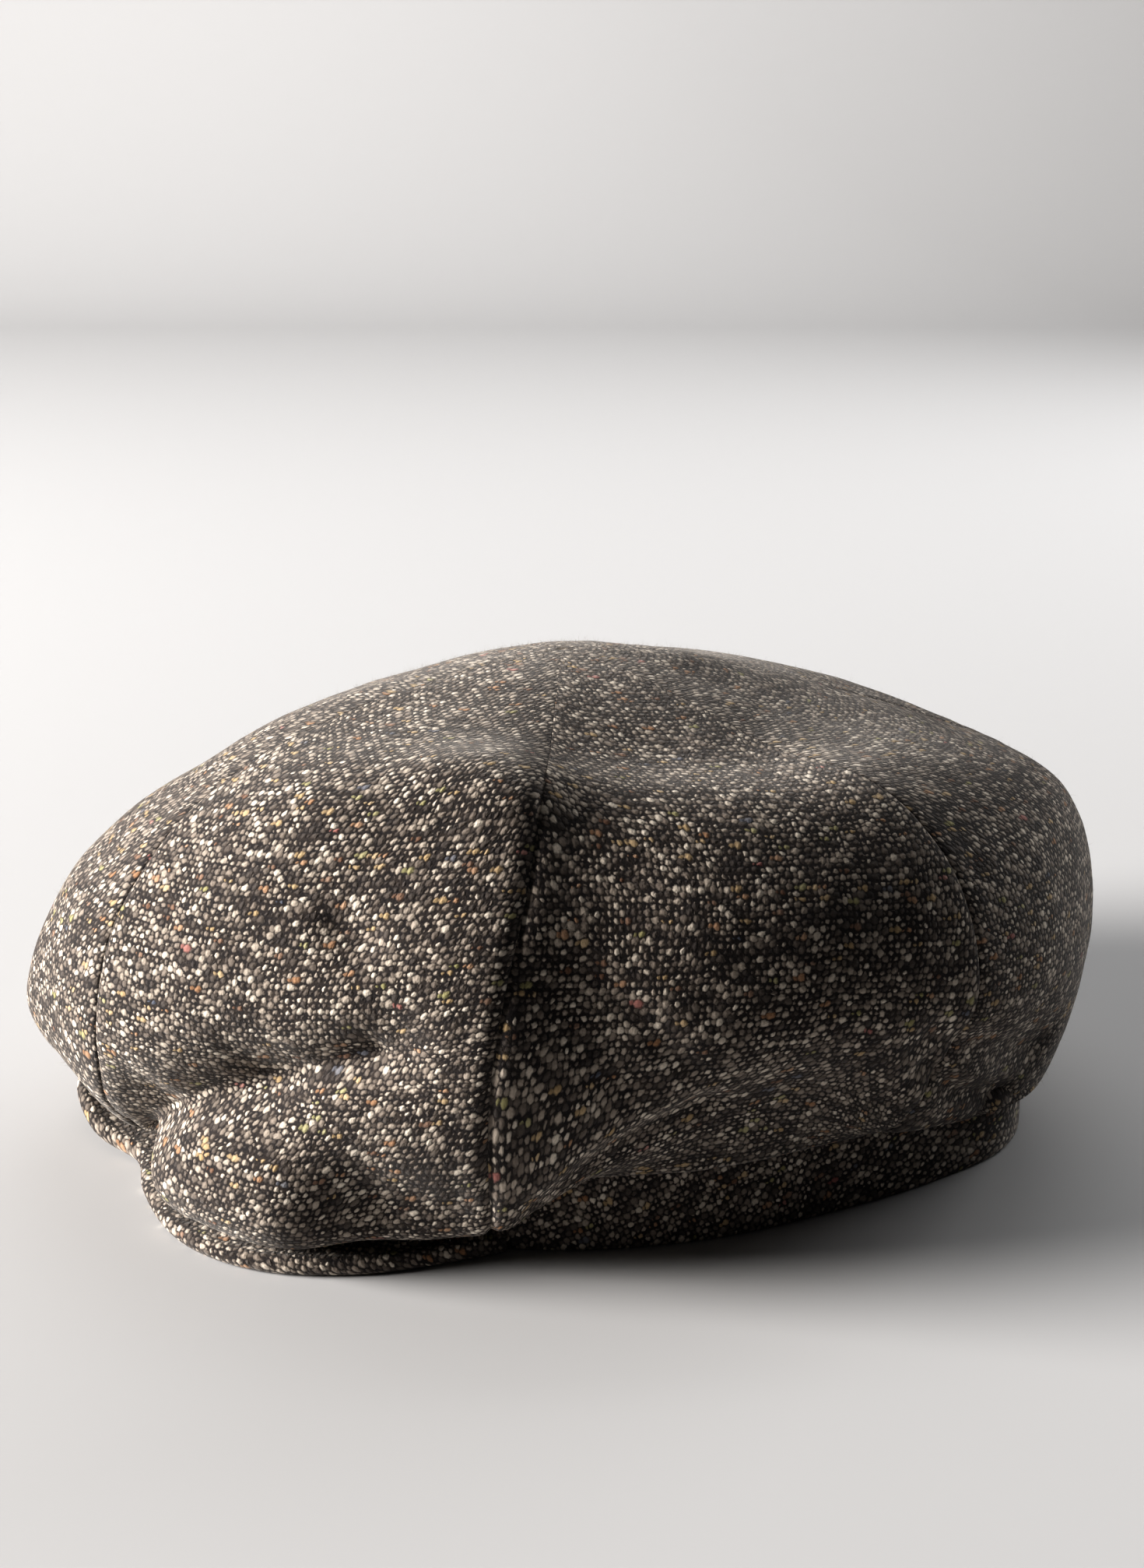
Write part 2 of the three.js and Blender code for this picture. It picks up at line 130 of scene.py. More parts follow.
bandFlare = [
    {"at": -180, "flare": 1.00},
    {"at": 108, "flare": 1.00},
    {"at": 120, "flare": 1.02},
    {"at": 132, "flare": 1.065},
    {"at": 144, "flare": 1.12},
    {"at": 156, "flare": 1.09},
    {"at": 168, "flare": 1.03},
    {"at": 180, "flare": 1.00},
]

# The solids were moved so that the middle of their box is the origin; the band shows by how much.
bandLow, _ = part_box("head_band")
shift = np.array([
    bandLow[0] + band["width"] / 2000,
    bandLow[1] + (band["length"] / 2 - band["setBack"]) / 1000,
    0.0,
])


def ovalReach(angle, width, length, setBack):
    across = np.sin(np.radians(angle))
    ahead = -np.cos(np.radians(angle))
    a = (across / (width / 2)) ** 2 + (ahead / (length / 2)) ** 2
    b = -2 * ahead * setBack / (length / 2) ** 2
    c = (setBack / (length / 2)) ** 2 - 1
    return (-b + np.sqrt(b * b - 4 * a * c)) / (2 * a)


def smoothThrough(places, values, at):
    # a smooth curve through values at rising places; each value may be an array as large as at
    at = np.asarray(at, float)
    places = np.asarray(places, float)
    values = np.stack([np.broadcast_to(np.asarray(value, float), at.shape) for value in values])
    last = len(places) - 1
    i = np.clip(np.searchsorted(places, at, side="right") - 1, 0, last - 1)

    def pick(k):
        return np.take_along_axis(values, k[None], 0)[0]

    def slope(k):
        low = np.maximum(k - 1, 0)
        high = np.minimum(k + 1, last)
        return (pick(high) - pick(low)) / (places[high] - places[low])

    span = places[i + 1] - places[i]
    t = (at - places[i]) / span
    curve = (2 * t**3 - 3 * t * t + 1) * pick(i) + (t**3 - 2 * t * t + t) * span * slope(i)
    return curve + (3 * t * t - 2 * t**3) * pick(i + 1) + (t**3 - t * t) * span * slope(i + 1)


def roundCrown(column, angle):
    turned = (np.asarray(angle, float) + 180) % 360 - 180
    rows = [(row["at"] - 360, row[column]) for row in sections[-3:]]
    rows += [(row["at"], row[column]) for row in sections]
    rows += [(row["at"] + 360, row[column]) for row in sections[:3]]
    return smoothThrough([place for place, _ in rows], [value for _, value in rows], turned)


def bandReach(angle):
    turned = (np.asarray(angle, float) + 180) % 360 - 180
    flare = smoothThrough([row["at"] for row in bandFlare], [row["flare"] for row in bandFlare], turned)
    return ovalReach(angle, band["width"], band["length"], band["setBack"]) * flare


def plainPoint(angle, along):
    # the crown's cloth before its folds, for arrays of angles and shares of the way along
    angle, along = np.broadcast_arrays(np.asarray(angle, float), np.asarray(along, float))
    oval = ovalReach(angle, crown["width"], crown["length"], crown["setBack"])
    places = [0] + [place for _, place in stations] + [1]
    reaches = [np.zeros_like(angle)]
    reaches += [oval * roundCrown(name + "Reach", angle) for name, _ in stations]
    reaches += [bandReach(angle) + band["clothEase"]]
    heights = [np.full_like(angle, crown["height"])]
    heights += [crown["height"] * roundCrown(name + "Height", angle) for name, _ in stations]
    heights += [np.full_like(angle, band["height"] - crown["cloth"])]
    reach = smoothThrough(places, reaches, along)
    height = smoothThrough([-places[1]] + places, [heights[1]] + heights, along)
    side = np.radians(angle)
    return np.stack([reach * np.sin(side), -reach * np.cos(side), height], -1)


def outward(pointAt, angle, along):
    # the way the cloth faces, from points a small step to each side
    turnStep, alongStep, topMost = 0.5, 0.004, 0.002
    turn = pointAt(angle + turnStep, along) - pointAt(angle - turnStep, along)
    below = pointAt(angle, np.minimum(along + alongStep, 1))
    run = below - pointAt(angle, np.maximum(along - alongStep, topMost))
    facing = np.cross(run, turn)
    return facing / np.linalg.norm(facing, axis=-1, keepdims=True)


# Tight creases, too fine for the solids: places along each as (angle, along), width and depth in millimetres.
creases = [
    {"way": [(7, 0.83), (12, 0.755), (22, 0.69), (33, 0.65), (46, 0.625)], "width": 4.2, "depth": 3.9},
    {"way": [(88, 0.80), (76, 0.815), (66, 0.83)], "width": 4.5, "depth": 2.2},
    {"way": [(72, 0.56), (80, 0.63), (84, 0.69)], "width": 4.5, "depth": 1.3},
    {"way": [(117, 0.74), (126, 0.775), (138, 0.80)], "width": 4.0, "depth": 2.4},
    {"way": [(41, 0.505), (45, 0.515)], "width": 4.0, "depth": 1.6},
    {"way": [(-24, 0.72), (-10, 0.73), (0, 0.74)], "width": 5.0, "depth": 1.8},
]
foldLines = [
    (plainPoint(fold["fromAngle"], fold["fromAlong"]), plainPoint(fold["toAngle"], fold["toAlong"]),
     fold["width"] * crown["height"], fold["lift"] * crown["height"])
    for fold in folds
]
creaseLines = [([plainPoint(angle, along) for angle, along in crease["way"]], crease["width"], crease["depth"])
               for crease in creases]


def awayFrom(points, start, end):
    run = end - start
    share = np.clip((points - start) @ run / (run @ run), 0, 1)
    return np.linalg.norm(points - start - share[..., None] * run, axis=-1)


def foldLift(points):
    total = np.zeros(points.shape[:-1])
    for start, end, width, lift in foldLines:
        total += lift * np.exp(-((awayFrom(points, start, end) / width) ** 2))
    return total


def creaseDepth(points):
    total = np.zeros(points.shape[:-1])
    for way, width, depth in creaseLines:
        away = np.minimum.reduce([awayFrom(points, start, end) for start, end in zip(way, way[1:])])
        total += depth * np.exp(-((away / width) ** 2))
    return total


def foldedPoint(angle, along):
    points = plainPoint(angle, along)
    lift = foldLift(points) - creaseDepth(points)
    return points + outward(plainPoint, angle, along) * lift[..., None]


def softNoise(points, size, seed):
    # smooth values between -1 and 1 that change over about this size
    cells = 32
    values = np.random.default_rng(seed).uniform(-1, 1, (cells, cells, cells))
    place = points / size
    low = np.floor(place).astype(int)
    t = place - low
    t = t * t * (3 - 2 * t)
    total = np.zeros(points.shape[:-1])
    for dx in (0, 1):
        for dy in (0, 1):
            for dz in (0, 1):
                weight = np.where(dx, t[..., 0], 1 - t[..., 0]) * np.where(dy, t[..., 1], 1 - t[..., 1])
                weight = weight * np.where(dz, t[..., 2], 1 - t[..., 2])
                corner = (low + (dx, dy, dz)) % cells
                total += weight * values[corner[..., 0], corner[..., 1], corner[..., 2]]
    return total


def toMetres(points):
    return points / 1000 + shift


def addMesh(name, points, faces, weave):
    mesh = bpy.data.meshes.new(name)
    mesh.from_pydata(toMetres(points).tolist(), [], faces)
    layer = mesh.uv_layers.new(name="weave")
    corners = np.empty(len(mesh.loops), int)
    mesh.loops.foreach_get("vertex_index", corners)
    layer.data.foreach_set("uv", (weave[corners] / 1000).astype(np.float32).ravel())
    mesh.polygons.foreach_set("use_smooth", [True] * len(mesh.polygons))
    piece = bpy.data.objects.new(name, mesh)
    bpy.context.scene.collection.objects.link(piece)
    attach(piece, "root")
    return piece


def sheetFaces(rows, columns):
    # faces of a closed sheet: an outer grid, an inner grid after it, and the four edges between them
    def at(side, row, column):
        return side * rows * columns + row * columns + column

    faces = []
    for r in range(rows - 1):
        for c in range(columns - 1):
            faces.append((at(0, r, c), at(0, r + 1, c), at(0, r + 1, c + 1), at(0, r, c + 1)))
            faces.append((at(1, r, c), at(1, r, c + 1), at(1, r + 1, c + 1), at(1, r + 1, c)))
    for r in range(rows - 1):
        e = columns - 1
        faces.append((at(0, r, 0), at(1, r, 0), at(1, r + 1, 0), at(0, r + 1, 0)))
        faces.append((at(0, r, e), at(0, r + 1, e), at(1, r + 1, e), at(1, r, e)))
    for c in range(columns - 1):
        e = rows - 1
        faces.append((at(0, 0, c), at(0, 0, c + 1), at(1, 0, c + 1), at(1, 0, c)))
        faces.append((at(0, e, c), at(1, e, c), at(1, e, c + 1), at(0, e, c + 1)))
    return faces


def seamAngle(seam, along):
    place = dict(stations)
    values = [seam["topAngle"], seam["topAngle"], seam["sideAngle"], seam["lipAngle"], seam["lipAngle"]]
    return smoothThrough([0, place["ridge"], place["wide"], place["lip"], 1], values, along)


def crownPanel(name, seamPlace, fromSeam, toSeam):
    rows = crown["stepsAlong"] + 1
    columns = crown["stepsAcross"] + 1
    topMost = 0.001
    along = np.linspace(topMost, 1, rows)[:, None] * np.ones((1, columns))
    even = np.linspace(0, 1, columns)[None, :]
    crowded = 0.5 - 0.5 * np.cos(np.pi * even)
    share = crown["evenShare"] * even + (1 - crown["evenShare"]) * crowded
    fromAngle = seamAngle(fromSeam, along)
    toAngle = seamAngle(toSeam, along)
    angle = fromAngle + (toAngle - fromAngle) * share
    outer = foldedPoint(angle, along)
    facing = outward(foldedPoint, angle, along)

    # how far each point lies from the nearer seam and from the panel's middle line, in millimetres
    across = np.linalg.norm(np.diff(outer, axis=1), axis=-1)
    fromLeft = np.concatenate([np.zeros((rows, 1)), np.cumsum(across, 1)], 1)
    total = fromLeft[:, -1:]
    edge = np.minimum(fromLeft, total - fromLeft)
    run = np.linalg.norm(np.diff(outer[:, columns // 2], axis=0), axis=-1)
    runAlong = np.concatenate([[0], np.cumsum(run)])[:, None] * np.ones((1, columns))

    nearTop = np.clip((runAlong - crown["seamFadeStart"]) / crown["seamFadeLength"], crown["seamLeast"], 1)
    groove = -crown["seamDip"] * np.exp(-((edge / crown["seamGrooveWidth"]) ** 2))
    ridge = crown["seamRidge"] * np.exp(-(((edge - crown["seamRidgePlace"]) / crown["seamRidgeWidth"]) ** 2))
    pucker = crown["puckerLift"] * softNoise(outer, crown["puckerSize"], 3)
    ripple = crown["rippleLift"] * softNoise(outer, crown["rippleSize"], 8)
    shares = [crown["seamShares"][seamPlace], crown["seamShares"][(seamPlace + 1) % len(seams)]]
    seamShare = np.where(fromLeft < total / 2, *shares)
    lift = (groove + ridge) * nearTop * seamShare + pucker + ripple
    outer = outer + facing * lift[..., None]
    inner = outer - facing * crown["cloth"]

    # cloth that comes down to the band lies against it
    for side in (outer, inner):
        around = np.degrees(np.arctan2(side[..., 0], -side[..., 1]))
        above = np.maximum(0, side[..., 2] - band["height"] - band["seatGap"])
        least = bandReach(around) + band["clothEase"] - above
        reach = np.hypot(side[..., 0], side[..., 1])
        push = np.where((above < band["clothClear"]) & (reach < least), least / np.maximum(reach, 1), 1)
        side[..., :2] *= push[..., None]

    points = np.concatenate([outer.reshape(-1, 3), inner.reshape(-1, 3)])
    weave = np.stack([fromLeft - total / 2, runAlong], -1).reshape(-1, 2)
    piece = addMesh("cloth_" + name, points, sheetFaces(rows, columns), np.concatenate([weave, weave]))
    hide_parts("crown_panel_" + name)
    return piece, outer.reshape(-1, 3), facing.reshape(-1, 3)


def loopBody(name, rings, weave, closed):
    # a body from rings of points; closed joins the last ring to the first, and else the ends are capped
    count, size = rings.shape[:2]
    faces = []
    for i in range(count if closed else count - 1):
        j = (i + 1) % count
        for k in range(size):
            m = (k + 1) % size
            faces.append((i * size + k, i * size + m, j * size + m, j * size + k))
    if not closed:
        faces.append(tuple(reversed(range(size))))
        faces.append(tuple((count - 1) * size + k for k in range(size)))
    return addMesh(name, rings.reshape(-1, 3), faces, weave.reshape(-1, 2))


def makeBand():
    around = np.linspace(0, 360, band["stepsRound"], endpoint=False)
    half = band["cloth"] / 2
    edge = band["edgeRound"]
    # section, from the lower outer corner up and over to the inside, as (inset, height)
    section = [(0.0, 0.9), (0.0, 3), (0.1, 8), (0.15, 14), (0.1, 19)]
    section += [(half - half * math.cos(t), band["height"] - edge + edge * math.sin(t))
                for t in np.linspace(0.2, 2.94, 7)]
    section += [(2 * half, 18), (2 * half, 10), (2 * half, 2.5)]
    section += [(half + half * math.cos(t), edge - edge * math.sin(t)) for t in np.linspace(0.3, 2.84, 6)]
    rings = []
    weave = []
    for angle in around:
        ring = []
        for inset, height in section:
            reach = float(bandReach(angle)) - inset
            side = math.radians(angle)
            ring.append((reach * math.sin(side), -reach * math.cos(side), height))
        rings.append(ring)
        weave.append([(angle * band["weavePerDegree"], height + inset) for inset, height in section])
    piece = loopBody("band_cloth", np.array(rings)[:, ::-1], np.array(weave)[:, ::-1], True)
    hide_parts("head_band")
    return piece


def makePeak():
    angles = np.linspace(-peak["halfAngle"], peak["halfAngle"], peak["stepsRound"] + 1)
    places = [row["at"] for row in peakRim]
    rim = peak["reach"] * smoothThrough(places, [row["reach"] for row in peakRim], angles)
    lifts = peak["reach"] * np.maximum(0, smoothThrough(places, [row["lift"] for row in peakRim], angles))
    start = bandReach(angles) + band["seatGap"]
    half = peak["cloth"] / 2
    shares = np.linspace(0, 1, peak["stepsAcross"])
    rings = []
    weave = []
    for angle, inner, outer, lifted in zip(angles, start, rim, lifts):
        side = math.radians(angle)
        arch = peak["rise"] * math.cos(math.radians(peak["arch"] * angle / peak["halfAngle"]))
        flatEnd = outer - half
        ring = []
        marks = []
        for share in shares:
            reach = inner + (flatEnd - inner) * share
            fromStitch = (outer - reach - peak["rimStitchInset"]) / peak["rimStitchWidth"]
            stitch = math.exp(-(fromStitch**2)) * peak["rimStitchDepth"]
            height = arch * (1 - share) ** peak["fall"] + lifted * share**2
            ring.append((reach, height + peak["cloth"] - stitch))
            marks.append(reach)
        for t in np.linspace(math.pi / 2, -math.pi / 2, peak["rimSteps"])[1:-1]:
            ring.append((flatEnd + half * math.cos(t), lifted + half + half * math.sin(t)))
            marks.append(flatEnd + half * (math.pi / 2 - t))
        for share in shares[::-1]:
            reach = inner + (flatEnd - inner) * share
            ring.append((reach, arch * (1 - share) ** peak["fall"] + lifted * share**2))
            marks.append(reach + peak["undersideMark"])
        rings.append([(r * math.sin(side), -r * math.cos(side), z) for r, z in ring])
        weave.append([(angle * peak["weavePerDegree"], mark) for mark in marks])
    piece = loopBody("peak_cloth", np.array(rings), np.array(weave), False)
    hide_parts("peak")
    return piece


class Value:
    # a shader socket that takes part in plain arithmetic
    def __init__(self, finish, socket):
        self.finish = finish
        self.socket = socket

    def math(self, operation, *others):
        settings = {"operation": operation}
        node = self.finish.node("ShaderNodeMath", settings, dict(enumerate((self,) + others)))
        return Value(self.finish, node.outputs[0])

    def __add__(self, other):
        return self.math("ADD", other)

    def __radd__(self, other):
        return self.math("ADD", other)

    def __sub__(self, other):
        return self.math("SUBTRACT", other)

    def __rsub__(self, other):
        return self.math("MULTIPLY", -1).math("ADD", other)

    def __mul__(self, other):
        return self.math("MULTIPLY", other)

    def __rmul__(self, other):
        return self.math("MULTIPLY", other)

    def __truediv__(self, other):
        return self.math("DIVIDE", other)

    def __gt__(self, other):
        return self.math("GREATER_THAN", other)


class Finish:
    def __init__(self, name):
        self.material = bpy.data.materials.new(name)
        self.material.use_nodes = True
        self.tree = self.material.node_tree
        self.tree.nodes.clear()

    def node(self, kind, settings, values):
        made = self.tree.nodes.new(kind)
        for key, value in settings.items():
            if key == "stops":
                ramp = made.color_ramp
                while len(ramp.elements) > 1:
                    ramp.elements.remove(ramp.elements[0])
                ramp.elements[0].position, ramp.elements[0].color = value[0]
                for position, colour in value[1:]:
                    ramp.elements.new(position).color = colour
            elif key == "interpolation":
                made.color_ramp.interpolation = value
            else:
                setattr(made, key, value)
        for key, value in values.items():
            socket = made.inputs[key]
            if isinstance(value, Value):
                self.tree.links.new(value.socket, socket)
            else:
                socket.default_value = value
        return made

    def value(self, kind, settings, values, output=0):
        return Value(self, self.node(kind, settings, values).outputs[output])

    def mix(self, factor, first, second, blend="MIX"):
        node = self.node("ShaderNodeMix", {"data_type": "RGBA", "blend_type": blend}, {})
        for index, value in ((0, factor), (6, first), (7, second)):
            if isinstance(value, Value):
                self.tree.links.new(value.socket, node.inputs[index])
            else:
                node.inputs[index].default_value = value
        return Value(self, node.outputs[2])

    def done(self, surface):
        out = self.node("ShaderNodeOutputMaterial", {}, {})
        self.tree.links.new(surface.outputs[0], out.inputs["Surface"])
        return self.material

    def between(self, value, low, high):
        # 0 at low and 1 at high, with soft ends
        settings = {"interpolation_type": "SMOOTHSTEP"}
        return self.value("ShaderNodeMapRange", settings, {0: value, 1: low, 2: high, 3: 0.0, 4: 1.0})


tweed = {
    "dotSpacing": 0.00205,      # metres between neighbouring light floats
    "wander": 0.24,             # how far the floats stray from even rows
    "yarnBend": 0.0011, "yarnBendScale": 95.0,
    "fibreBend": 0.0004, "fibreBendScale": 900.0,
    "fibreScale": 1900.0, "cloudScale": 60.0, "yarnScale": 420.0,
    "dotSize": (0.25, 0.47),    # smallest and largest float, in spacings
    "smallDotSize": (0.13, 0.31),
    "dotEdge": (0.55, 1.2),     # where a float's edge starts and ends to fade, in its own radius
    "ground": [
        (0.0, (0.006, 0.005, 0.006, 1)), (0.45, (0.016, 0.013, 0.013, 1)),
        (0.8, (0.042, 0.032, 0.026, 1)), (1.0, (0.10, 0.078, 0.062, 1)),
    ],
    "floats": [
        (0.0, (0.030, 0.026, 0.026, 1)), (0.2, (0.090, 0.074, 0.063, 1)), (0.45, (0.22, 0.183, 0.152, 1)),
        (0.78, (0.43, 0.370, 0.308, 1)), (1.0, (0.66, 0.592, 0.505, 1)),
    ],
    "accents": [
        (0.0, (0.33, 0.18, 0.095, 1)), (0.28, (0.42, 0.30, 0.16, 1)), (0.60, (0.29, 0.27, 0.12, 1)),
        (0.75, (0.17, 0.09, 0.055, 1)), (0.90, (0.08, 0.095, 0.13, 1)), (0.97, (0.32, 0.125, 0.11, 1)),
    ],
    "accentShare": 0.06, "accentCover": 0.8, "smallDotCover": 0.8,
    "smallDotRelief": 0.45, "fibreRelief": 0.5, "reliefDepth": 0.0003, "reliefStrength": 0.9,
    "roughness": 0.93, "sheen": 0.22, "sheenRoughness": 0.45, "sheenTint": (0.93, 0.90, 0.86, 1), "gloss": 0.18,
}


def tweedFinish(name, brightness, turn):
    f = Finish(name)
    uv = f.value("ShaderNodeUVMap", {"uv_map": "weave"}, {})
    stray = f.value("ShaderNodeTexNoise", {"noise_dimensions": "2D"},
                    {"Vector": uv, "Scale": tweed["yarnBendScale"], "Detail": 2.0}, "Color")
    shifted = f.value("ShaderNodeVectorMath", {"operation": "SUBTRACT"}, {0: stray, 1: (0.5, 0.5, 0.5)})
    bend = f.value("ShaderNodeVectorMath", {"operation": "SCALE"}, {0: shifted, "Scale": tweed["yarnBend"] * 2})
    fray = f.value("ShaderNodeTexNoise", {"noise_dimensions": "2D"},
                   {"Vector": uv, "Scale": tweed["fibreBendScale"], "Detail": 2.0}, "Color")
    frayed = f.value("ShaderNodeVectorMath", {"operation": "SUBTRACT"}, {0: fray, 1: (0.5, 0.5, 0.5)})
    frayBend = f.value("ShaderNodeVectorMath", {"operation": "SCALE"},
                       {0: frayed, "Scale": tweed["fibreBend"] * 2})
    swayed = f.value("ShaderNodeVectorMath", {"operation": "ADD"}, {0: uv, 1: bend})
    bent = f.value("ShaderNodeVectorMath", {"operation": "ADD"}, {0: swayed, 1: frayBend})
    laid = f.value("ShaderNodeVectorRotate", {"rotation_type": "Z_AXIS"}, {"Vector": bent, "Angle": turn})

    def floats(offset, sizes):
        moved = f.value("ShaderNodeVectorMath", {"operation": "ADD"}, {0: laid, 1: offset})
        cells = f.node("ShaderNodeTexVoronoi", {"voronoi_dimensions": "2D", "feature": "F1"},
                       {"Vector": moved, "Scale": 1 / tweed["dotSpacing"], "Randomness": tweed["wander"]})
        distance = Value(f, cells.outputs["Distance"])
        parts = f.node("ShaderNodeSeparateColor", {}, {"Color": Value(f, cells.outputs["Color"])})
        size, tone, hue = (Value(f, socket) for socket in parts.outputs[:3])
        radius = size * (sizes[1] - sizes[0]) + sizes[0]
        mask = 1 - f.between(distance, radius * tweed["dotEdge"][0], radius * tweed["dotEdge"][1])
        dome = (1 - distance / radius).math("MAXIMUM", 0.0).math("POWER", 0.6)
        return mask, dome, tone, hue

    half = tweed["dotSpacing"] / 2
    mask, dome, tone, hue = floats((0.0, 0.0, 0.0), tweed["dotSize"])
    smallMask, smallDome, smallTone, smallHue = floats((half, half, 0.0), tweed["smallDotSize"])

    fibre = f.value("ShaderNodeTexNoise", {"noise_dimensions": "2D"},
                    {"Vector": uv, "Scale": tweed["fibreScale"], "Detail": 3.0, "Roughness": 0.65})
    cloud = f.value("ShaderNodeTexNoise", {"noise_dimensions": "2D"},
                    {"Vector": uv, "Scale": tweed["cloudScale"], "Detail": 3.0})
    yarn = f.value("ShaderNodeTexNoise", {"noise_dimensions": "2D"},
                   {"Vector": laid, "Scale": tweed["yarnScale"], "Detail": 2.0})

    groundTone = yarn * 0.75 + fibre * 0.55 - 0.16
    ground = f.value("ShaderNodeValToRGB", {"stops": tweed["ground"]}, {"Fac": groundTone})
    light = f.value("ShaderNodeValToRGB", {"stops": tweed["floats"]}, {"Fac": tone * 0.85 + cloud * 0.3 - 0.05})
    smallLight = f.value("ShaderNodeValToRGB", {"stops": tweed["floats"]}, {"Fac": smallTone * 0.62 + 0.02})
    accent = f.value("ShaderNodeValToRGB", {"stops": tweed["accents"], "interpolation": "CONSTANT"},
                     {"Fac": hue / tweed["accentShare"]})
    smallAccent = f.value("ShaderNodeValToRGB", {"stops": tweed["accents"], "interpolation": "CONSTANT"},
                          {"Fac": smallHue / tweed["accentShare"]})
    isAccent = 1 - (hue > tweed["accentShare"])
    isSmallAccent = 1 - (smallHue > tweed["accentShare"])
    light = f.mix(isAccent * tweed["accentCover"], light, accent)
    smallLight = f.mix(isSmallAccent * tweed["accentCover"], smallLight, smallAccent)
    colour = f.mix(smallMask * tweed["smallDotCover"], ground, smallLight)
    colour = f.mix(mask, colour, light)
    shade = fibre * 0.7 + 0.62
    shadeColour = f.value("ShaderNodeCombineColor", {}, {0: shade, 1: shade, 2: shade})
    colour = f.mix(1.0, colour, shadeColour, "MULTIPLY")
    colour = f.mix(1.0, colour, (brightness, brightness, brightness, 1), "MULTIPLY")

    relief = dome + smallDome * tweed["smallDotRelief"] + fibre * tweed["fibreRelief"]
    bump = f.value("ShaderNodeBump", {}, {
        "Strength": tweed["reliefStrength"], "Distance": tweed["reliefDepth"], "Height": relief})
    surface = f.node("ShaderNodeBsdfPrincipled", {}, {
        "Base Color": colour, "Roughness": tweed["roughness"], "Normal": bump,
        "Sheen Weight": tweed["sheen"], "Sheen Roughness": tweed["sheenRoughness"],
        "Sheen Tint": tweed["sheenTint"], "Specular IOR Level": tweed["gloss"],
    })
    return f.done(surface)


def plainFinish(name, colour, roughness, gloss):
    f = Finish(name)
    return f.done(f.node("ShaderNodeBsdfPrincipled", {}, {
        "Base Color": colour, "Roughness": roughness, "Specular IOR Level": gloss}))


fuzz = {
    "count": 9000, "length": (0.8, 2.8), "thickness": 0.045, "seed": 21,
    "rootDepth": 0.3, "lean": 0.75, "sag": 0.28, "bendPlace": 0.55, "bendThickness": 0.7,
    "colour": (0.30, 0.275, 0.245, 1), "roughness": 0.9, "gloss": 0.1,
}


def makeFuzz(points, facing, material):
    # loose fibres that stand off the cloth, as three-sided needles with one bend
    random = np.random.default_rng(fuzz["seed"])
    chosen = random.choice(len(points), fuzz["count"], replace=False)
    vertices = []
    faces = []
    for index in chosen:
        root = points[index] - facing[index] * fuzz["rootDepth"]
        lean = random.normal(size=3)
        heading = facing[index] + fuzz["lean"] * lean / np.linalg.norm(lean)
        heading /= np.linalg.norm(heading)
        length = random.uniform(*fuzz["length"]) * random.uniform(0.5, 1)
        sag = random.normal(size=3) * fuzz["sag"] * length
        middle = root + heading * length * fuzz["bendPlace"]
        tip = root + heading * length + sag
        side = np.cross(heading, lean)
        side /= np.linalg.norm(side)
        other = np.cross(heading, side)
        first = len(vertices)
        for place, width in ((root, fuzz["thickness"]), (middle, fuzz["thickness"] * fuzz["bendThickness"])):
            for turn in (0, 2.094, 4.189):
                vertices.append(place + (side * math.cos(turn) + other * math.sin(turn)) * width / 2)
        vertices.append(tip)
        for k in range(3):
            m = (k + 1) % 3
            faces.append((first + k, first + m, first + 3 + m, first + 3 + k))
            faces.append((first + 3 + k, first + 3 + m, first + 6))
        faces.append((first + 2, first + 1, first))
    weave = np.zeros((len(vertices), 2))
    piece = addMesh("cloth_fuzz", np.array(vertices), faces, weave)
    piece.data.materials.append(material)


crownTweed = tweedFinish("crown_tweed_finish", crown["brightness"], crown["weaveTurn"])
bandTweed = tweedFinish("band_tweed_finish", band["brightness"], band["weaveTurn"])
peakTweed = tweedFinish("peak_tweed_finish", peak["brightness"], peak["weaveTurn"])

panelNames = ["left_front", "left_side", "left_back", "right_back", "right_side", "right_front"]
allPoints = []
allFacing = []
for i, name in enumerate(panelNames):
    following = dict(seams[(i + 1) % len(seams)])
    if i + 1 == len(seams):
        following = {key: value + 360 for key, value in following.items()}
    panel, panelPoints, panelFacing = crownPanel(name, i, seams[i], following)
    panel.data.materials.append(crownTweed)
    allPoints.append(panelPoints)
    allFacing.append(panelFacing)
    print("panel", name)
makeBand().data.materials.append(bandTweed)
makePeak().data.materials.append(peakTweed)
print("band and peak")
fuzzFinish = plainFinish("wool_fuzz", fuzz["colour"], fuzz["roughness"], fuzz["gloss"])
makeFuzz(np.concatenate(allPoints), np.concatenate(allFacing), fuzzFinish)
print("fuzz")

# The table, which rises softly into the backdrop behind, and the soft studio light.
studio = {
    "azimuth": 69, "distance": 0.5363, "side": 0.0023, "height": 0.2629, "pitch": 18, "lens": 50,
    "sensor": 36, "aimHeight": 0.06,
    "floorNear": 0.3, "floorFar": 1.9, "floorWidth": 3.4, "wallHeight": 3, "bendRadius": 0.7, "bendSteps": 12,
    "paper": (0.53, 0.53, 0.535, 1), "paperRoughness": 0.7, "paperGloss": 0.25,
    "skyColour": (0.97, 0.985, 1.0, 1), "skyLevel": 0.012,
}
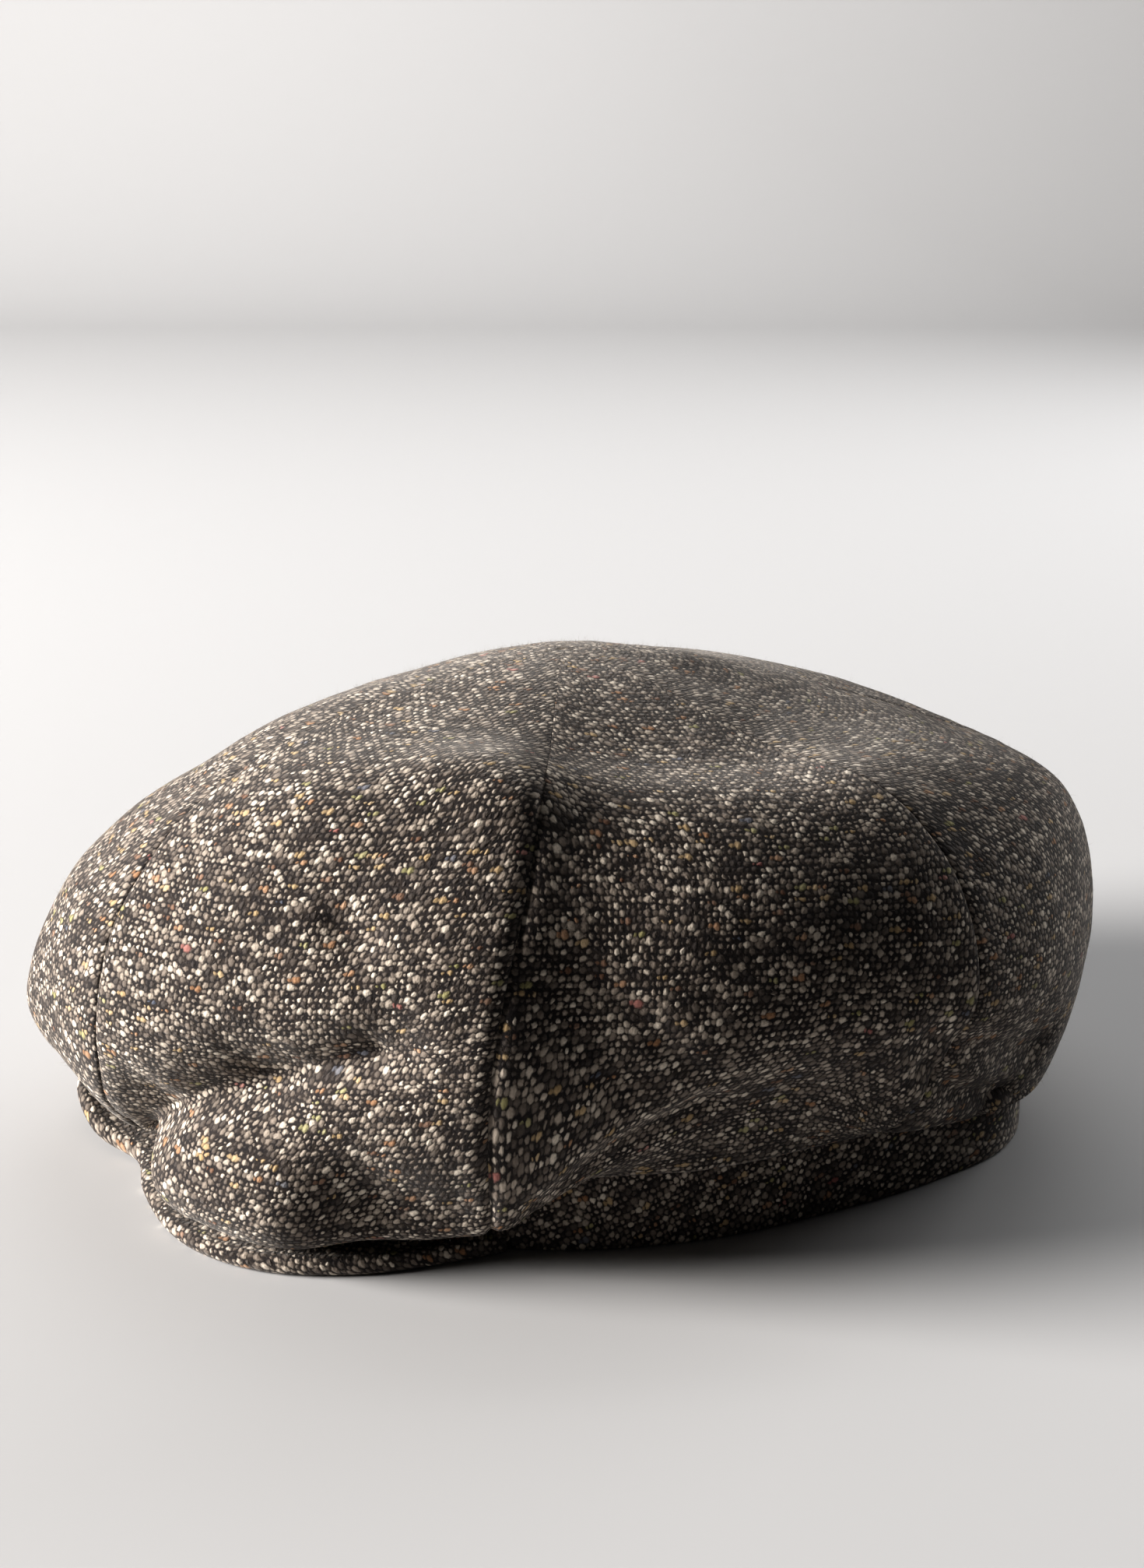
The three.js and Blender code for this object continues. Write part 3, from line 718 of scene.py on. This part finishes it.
# Each light stands this far to the camera's right, away from the camera and up, in metres.
lights = [
    {"name": "key_light", "right": -2.6, "away": -0.2, "up": 0.85, "power": 222, "size": 1.2,
     "colour": (1.0, 0.965, 0.93)},
    {"name": "back_light", "right": 0.3, "away": 0.9, "up": 1.8, "power": 8, "size": 2.0},
    {"name": "side_light", "right": 1.25, "away": 0.95, "up": 0.55, "power": 11, "size": 0.9},
    {"name": "wall_light", "right": 0, "away": 0.9, "up": 1.9, "power": 11, "size": 1.6, "aim": (2.6, 0.6)},
]
sight = math.radians(studio["azimuth"])
away = Vector((-math.sin(sight), math.cos(sight), 0))
right = Vector((math.cos(sight), math.sin(sight), 0))
centre = Vector(shift)


def makeStage():
    profile = [(-studio["floorNear"], 0.0), (studio["floorFar"], 0.0)]
    radius = studio["bendRadius"]
    for step in range(1, studio["bendSteps"] + 1):
        t = math.pi / 2 * step / studio["bendSteps"]
        profile.append((studio["floorFar"] + radius * math.sin(t), radius * (1 - math.cos(t))))
    profile.append((studio["floorFar"] + radius, studio["wallHeight"]))
    points = []
    for depth, height in profile:
        for side in (-studio["floorWidth"] / 2, studio["floorWidth"] / 2):
            points.append(tuple(away * depth + right * side + Vector((0, 0, height))))
    faces = [(2 * i, 2 * i + 1, 2 * i + 3, 2 * i + 2) for i in range(len(profile) - 1)]
    mesh = bpy.data.meshes.new("backdrop")
    mesh.from_pydata(points, [], faces)
    mesh.polygons.foreach_set("use_smooth", [True] * len(faces))
    backdrop = bpy.data.objects.new("backdrop", mesh)
    bpy.context.scene.collection.objects.link(backdrop)
    mesh.materials.append(
        plainFinish("backdrop_paper", studio["paper"], studio["paperRoughness"], studio["paperGloss"]))


def addLight(light):
    data = bpy.data.lights.new(light["name"], "AREA")
    data.energy = light["power"]
    data.color = light.get("colour", (1, 1, 1))
    data.shape = "DISK"
    data.size = light["size"]
    lamp = bpy.data.objects.new(light["name"], data)
    lamp.location = centre + right * light["right"] + away * light["away"] + Vector((0, 0, light["up"]))
    aimAway, aimUp = light.get("aim", (0, studio["aimHeight"]))
    target = centre + away * aimAway + Vector((0, 0, aimUp))
    lamp.rotation_euler = (target - lamp.location).to_track_quat("-Z", "Y").to_euler()
    bpy.context.scene.collection.objects.link(lamp)


makeStage()
for light in lights:
    addLight(light)

sky = bpy.data.worlds.new("studio_sky")
sky.use_nodes = True
sky.node_tree.nodes["Background"].inputs["Color"].default_value = studio["skyColour"]
sky.node_tree.nodes["Background"].inputs["Strength"].default_value = studio["skyLevel"]
bpy.context.scene.world = sky
bpy.context.scene.view_settings.view_transform = "Standard"
bpy.context.scene.view_settings.look = "Medium High Contrast"

cameraData = bpy.data.cameras.new("photo_camera")
cameraData.lens = studio["lens"]
cameraData.sensor_width = studio["sensor"]
camera = bpy.data.objects.new("photo_camera", cameraData)
camera.location = centre - away * studio["distance"] + right * studio["side"] + Vector((0, 0, studio["height"]))
pitch = math.radians(studio["pitch"])
heading = away * math.cos(pitch) - Vector((0, 0, math.sin(pitch)))
camera.rotation_euler = heading.to_track_quat("-Z", "Y").to_euler()
bpy.context.scene.collection.objects.link(camera)
bpy.context.scene.camera = camera
print("stage, lights and camera")
